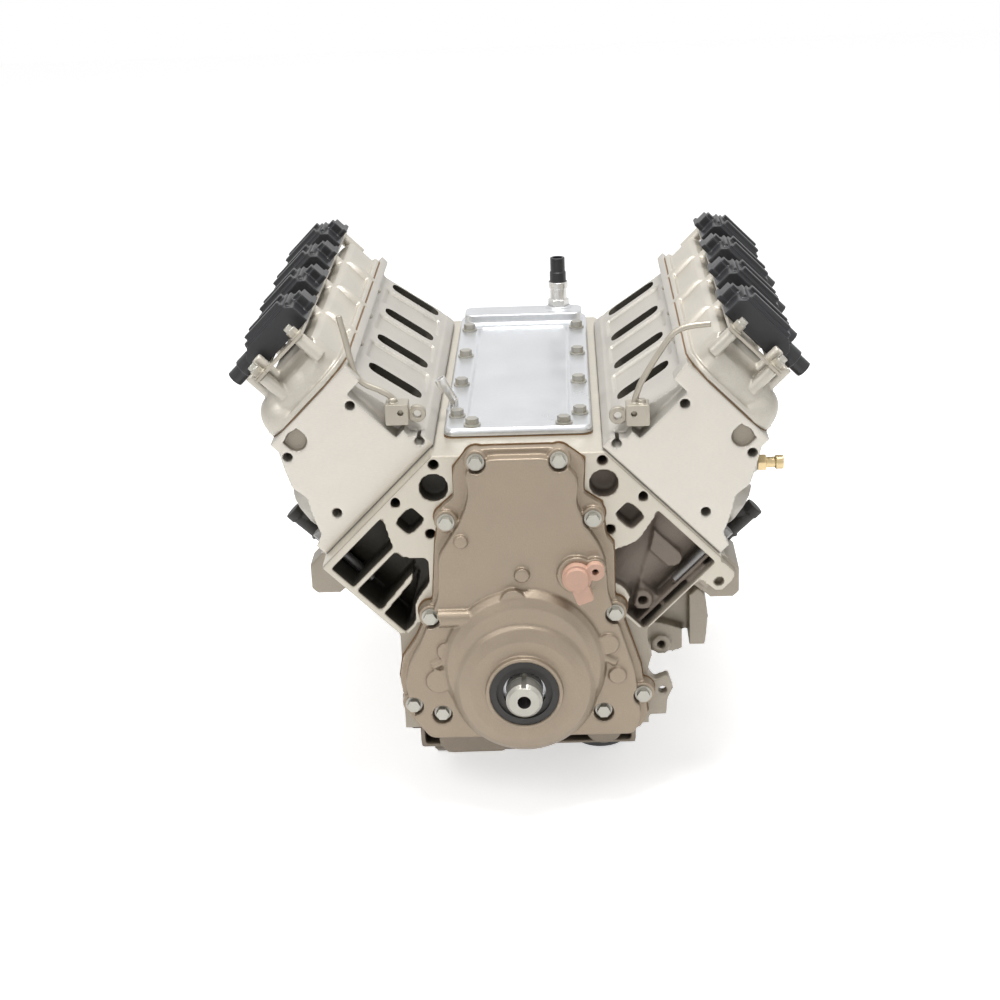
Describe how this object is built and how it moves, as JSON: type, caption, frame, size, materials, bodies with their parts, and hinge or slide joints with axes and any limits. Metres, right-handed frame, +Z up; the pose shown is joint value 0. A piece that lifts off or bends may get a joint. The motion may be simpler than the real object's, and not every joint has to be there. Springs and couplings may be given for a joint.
{
  "type": "car engine",
  "caption": "Ninety degree V engine long block with front cover, valley cover, heads, valve covers, coils, oil pan, turning crank, cam and sliding pistons.",
  "frame": {"origin": "On the crankshaft axis, at the front face of the block.", "axes": "-Y is the front, where the snout stands out; +Z is up; +X is to the right as seen from the front. The crankshaft lies along Y."},
  "size_m": [0.604, 0.612, 0.5445],
  "materials": {
    "cast_aluminium": "rough cast, machined faces",
    "machined_aluminium": "machined",
    "cast_iron": "machined iron",
    "bright_steel": "zinc plated",
    "dark_steel": "oiled steel",
    "spring_steel": "blued",
    "gasket_paper": "moulded",
    "black_rubber": "matt",
    "black_plastic": "moulded",
    "pink_plastic": "moulded",
    "filter_paint": "gloss paint",
    "white_ceramic": "glazed",
    "brass": "machined"
  },
  "bodies": {
    "block": {"engine_block": "cast_aluminium", "cylinder_head_left": "cast_aluminium", "cylinder_head_right": "cast_aluminium", "front_cover": "cast_aluminium", "rear_cover": "cast_aluminium", "valve_cover_left": "cast_aluminium", "valve_cover_right": "cast_aluminium", "oil_pan": "cast_aluminium", "valley_cover": "machined_aluminium", "coolant_vent_pipes": "machined_aluminium", "oil_pump_housing": "machined_aluminium", "cylinder_liners": "cast_iron", "main_bearing_caps": "cast_iron", "cover_bolts": "bright_steel", "coil_brackets": "bright_steel", "drain_plug": "bright_steel", "valves": "bright_steel", "pushrods": "bright_steel", "valve_lifters": "bright_steel", "oil_pickup_tube": "bright_steel", "main_bearings": "bright_steel", "cam_bearings": "bright_steel", "timing_chain": "dark_steel", "head_bolts": "dark_steel", "rocker_arms": "dark_steel", "cam_retainer_plate": "dark_steel", "head_gaskets": "dark_steel", "vent_tube": "dark_steel", "valve_springs": "spring_steel", "cover_gaskets": "gasket_paper", "crank_seals": "black_rubber", "spark_plug_boots": "black_rubber", "ignition_coils": "black_plastic", "oil_pressure_sensor": "black_plastic", "cam_position_sensor": "pink_plastic", "oil_filter": "filter_paint", "spark_plugs": "white_ceramic", "coolant_temp_sensor": "brass"},
    "piston_1": {"piston_1": "machined_aluminium"},
    "piston_2": {"piston_2": "machined_aluminium"},
    "piston_3": {"piston_3": "machined_aluminium"},
    "piston_4": {"piston_4": "machined_aluminium"},
    "piston_5": {"piston_5": "machined_aluminium"},
    "piston_6": {"piston_6": "machined_aluminium"},
    "piston_7": {"piston_7": "machined_aluminium"},
    "piston_8": {"piston_8": "machined_aluminium"},
    "crank": {"crankshaft": "cast_iron", "crank_sprocket": "dark_steel", "oil_pump_inner_rotor": "dark_steel"},
    "cam": {"cam_sprocket": "cast_iron", "camshaft": "dark_steel"},
    "pump_rotor": {"oil_pump_outer_rotor": "dark_steel"},
    "rod_1": {"connecting_rod_1": "dark_steel"},
    "rod_2": {"connecting_rod_2": "dark_steel"},
    "rod_3": {"connecting_rod_3": "dark_steel"},
    "rod_4": {"connecting_rod_4": "dark_steel"},
    "rod_5": {"connecting_rod_5": "dark_steel"},
    "rod_6": {"connecting_rod_6": "dark_steel"},
    "rod_7": {"connecting_rod_7": "dark_steel"},
    "rod_8": {"connecting_rod_8": "dark_steel"}
  },
  "joints": [
    {"name": "crank_spin", "type": "hinge", "parent": "block", "child": "crank", "pos_m": [0, 0, 0], "axis": [0, 1, 0], "continuous": true, "deforming": ["connecting_rod_1", "connecting_rod_2", "connecting_rod_3", "connecting_rod_4", "connecting_rod_5", "connecting_rod_6", "connecting_rod_7", "connecting_rod_8", "timing_chain"]},
    {"name": "cam_spin", "type": "hinge", "parent": "block", "child": "cam", "pos_m": [0, 0, 0.1248], "axis": [0, 1, 0], "continuous": true, "deforming": ["timing_chain"]},
    {"name": "pump_rotor_spin", "type": "hinge", "parent": "block", "child": "pump_rotor", "pos_m": [0, 0, 0.0032], "axis": [0, 1, 0], "continuous": true},
    {"name": "piston_1_slide", "type": "slide", "parent": "block", "child": "piston_1", "axis": [0.7071, 0, 0.7071], "range_m": [-0.07507, 0.01693], "deforming": ["connecting_rod_1"]},
    {"name": "rod_1_pivot", "type": "hinge", "parent": "piston_1", "child": "rod_1", "pos_m": [0.13009, 0.07188, 0.13009], "axis": [0, 1, 0], "range_deg": [-29.42, 5.18], "deforming": ["connecting_rod_1"]},
    {"name": "piston_2_slide", "type": "slide", "parent": "block", "child": "piston_2", "axis": [-0.7071, 0, 0.7071], "range_m": [-0.07507, 0.01693], "deforming": ["connecting_rod_2"]},
    {"name": "rod_2_pivot", "type": "hinge", "parent": "piston_2", "child": "rod_2", "pos_m": [-0.13009, 0.09588, 0.13009], "axis": [0, 1, 0], "range_deg": [-5.18, 29.42], "deforming": ["connecting_rod_2"]},
    {"name": "piston_3_slide", "type": "slide", "parent": "block", "child": "piston_3", "axis": [0.7071, 0, 0.7071], "range_m": [-0.01002, 0.08198], "deforming": ["connecting_rod_3"]},
    {"name": "rod_3_pivot", "type": "hinge", "parent": "piston_3", "child": "rod_3", "pos_m": [0.08409, 0.18364, 0.08409], "axis": [0, 1, 0], "range_deg": [-29.42, 5.18], "deforming": ["connecting_rod_3"]},
    {"name": "piston_4_slide", "type": "slide", "parent": "block", "child": "piston_4", "axis": [-0.7071, 0, 0.7071], "range_m": [-0.07507, 0.01693], "deforming": ["connecting_rod_4"]},
    {"name": "rod_4_pivot", "type": "hinge", "parent": "piston_4", "child": "rod_4", "pos_m": [-0.13009, 0.20764, 0.13009], "axis": [0, 1, 0], "range_deg": [-29.42, 5.18], "deforming": ["connecting_rod_4"]},
    {"name": "piston_5_slide", "type": "slide", "parent": "block", "child": "piston_5", "axis": [0.7071, 0, 0.7071], "range_m": [-0.07507, 0.01693], "deforming": ["connecting_rod_5"]},
    {"name": "rod_5_pivot", "type": "hinge", "parent": "piston_5", "child": "rod_5", "pos_m": [0.13009, 0.2954, 0.13009], "axis": [0, 1, 0], "range_deg": [-5.18, 29.42], "deforming": ["connecting_rod_5"]},
    {"name": "piston_6_slide", "type": "slide", "parent": "block", "child": "piston_6", "axis": [-0.7071, 0, 0.7071], "range_m": [-0.01002, 0.08198], "deforming": ["connecting_rod_6"]},
    {"name": "rod_6_pivot", "type": "hinge", "parent": "piston_6", "child": "rod_6", "pos_m": [-0.08409, 0.3194, 0.08409], "axis": [0, 1, 0], "range_deg": [-5.18, 29.42], "deforming": ["connecting_rod_6"]},
    {"name": "piston_7_slide", "type": "slide", "parent": "block", "child": "piston_7", "axis": [0.7071, 0, 0.7071], "range_m": [-0.01002, 0.08198], "deforming": ["connecting_rod_7"]},
    {"name": "rod_7_pivot", "type": "hinge", "parent": "piston_7", "child": "rod_7", "pos_m": [0.08409, 0.40716, 0.08409], "axis": [0, 1, 0], "range_deg": [-5.18, 29.42], "deforming": ["connecting_rod_7"]},
    {"name": "piston_8_slide", "type": "slide", "parent": "block", "child": "piston_8", "axis": [-0.7071, 0, 0.7071], "range_m": [-0.01002, 0.08198], "deforming": ["connecting_rod_8"]},
    {"name": "rod_8_pivot", "type": "hinge", "parent": "piston_8", "child": "rod_8", "pos_m": [-0.08409, 0.43116, 0.08409], "axis": [0, 1, 0], "range_deg": [-29.42, 5.18], "deforming": ["connecting_rod_8"]}
  ],
  "couplings": [
    {"joint": "cam_spin", "follows": "crank_spin", "ratio": 0.5},
    {"joint": "pump_rotor_spin", "follows": "crank_spin", "ratio": 0.85714}
  ]
}
